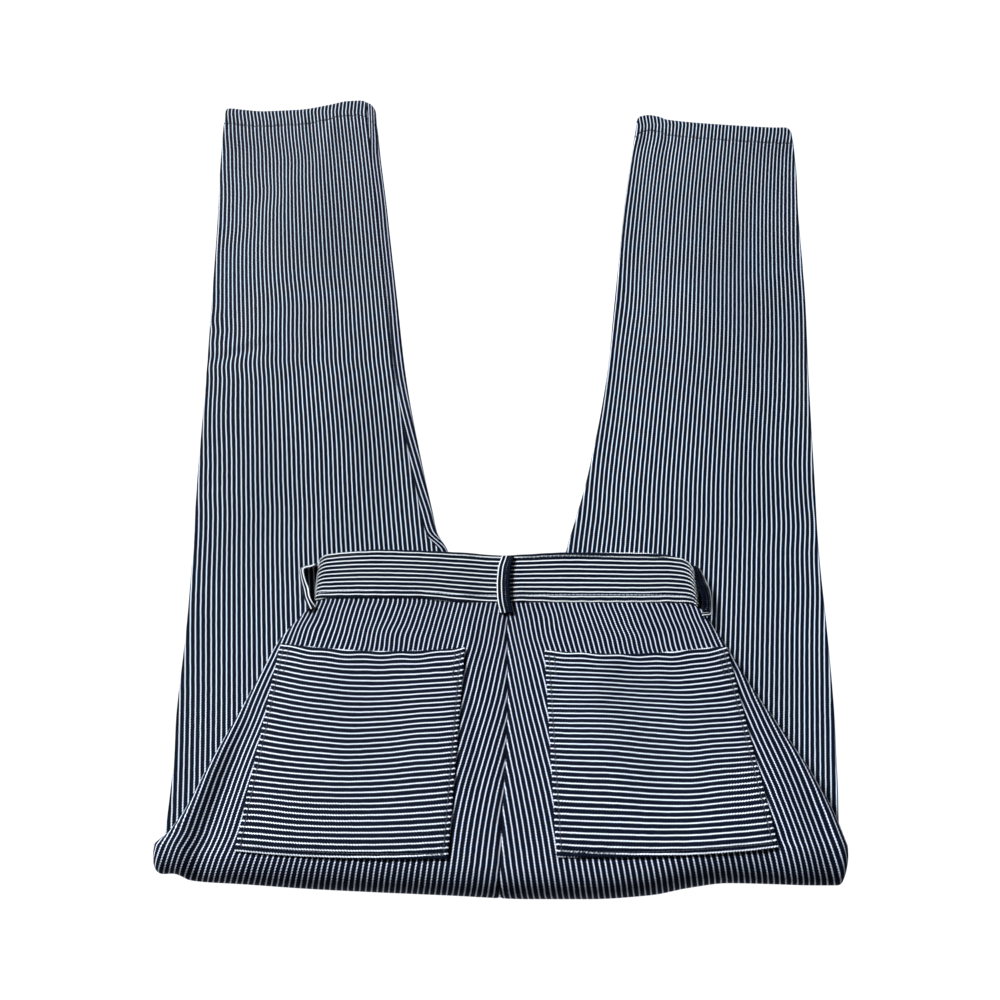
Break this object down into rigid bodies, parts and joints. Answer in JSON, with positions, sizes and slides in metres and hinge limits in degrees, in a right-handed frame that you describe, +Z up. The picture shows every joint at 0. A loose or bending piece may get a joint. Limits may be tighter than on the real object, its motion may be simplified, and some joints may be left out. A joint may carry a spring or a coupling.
{
  "type": "folded jeans",
  "caption": "Striped denim jeans laid front side up with the seat folded over the thighs, showing back patch pockets, waistband and belt loops.",
  "frame": {"origin": "middle of the garment's bounding box, on the surface it lies on", "axes": "+X to the right and +Y from the near fold towards the hems, +Z up from the surface"},
  "size_m": [0.597, 0.7966, 0.0304],
  "materials": {
    "striped_denim": "dark navy cotton twill with fine lengthwise white stripes, matt",
    "denim_layers": "the same twill, inner layers in shade inside the fold",
    "brass": "aged brass button, satin"
  },
  "bodies": {
    "root": {"back_left": "striped_denim", "back_right": "striped_denim", "front_left": "striped_denim", "front_right": "striped_denim", "front_rise": "denim_layers", "waistband": "striped_denim", "pocket_left": "striped_denim", "pocket_right": "striped_denim", "belt_loop_back": "striped_denim", "belt_loop_left": "striped_denim", "belt_loop_right": "striped_denim", "waist_button": "brass"}
  },
  "joints": []
}
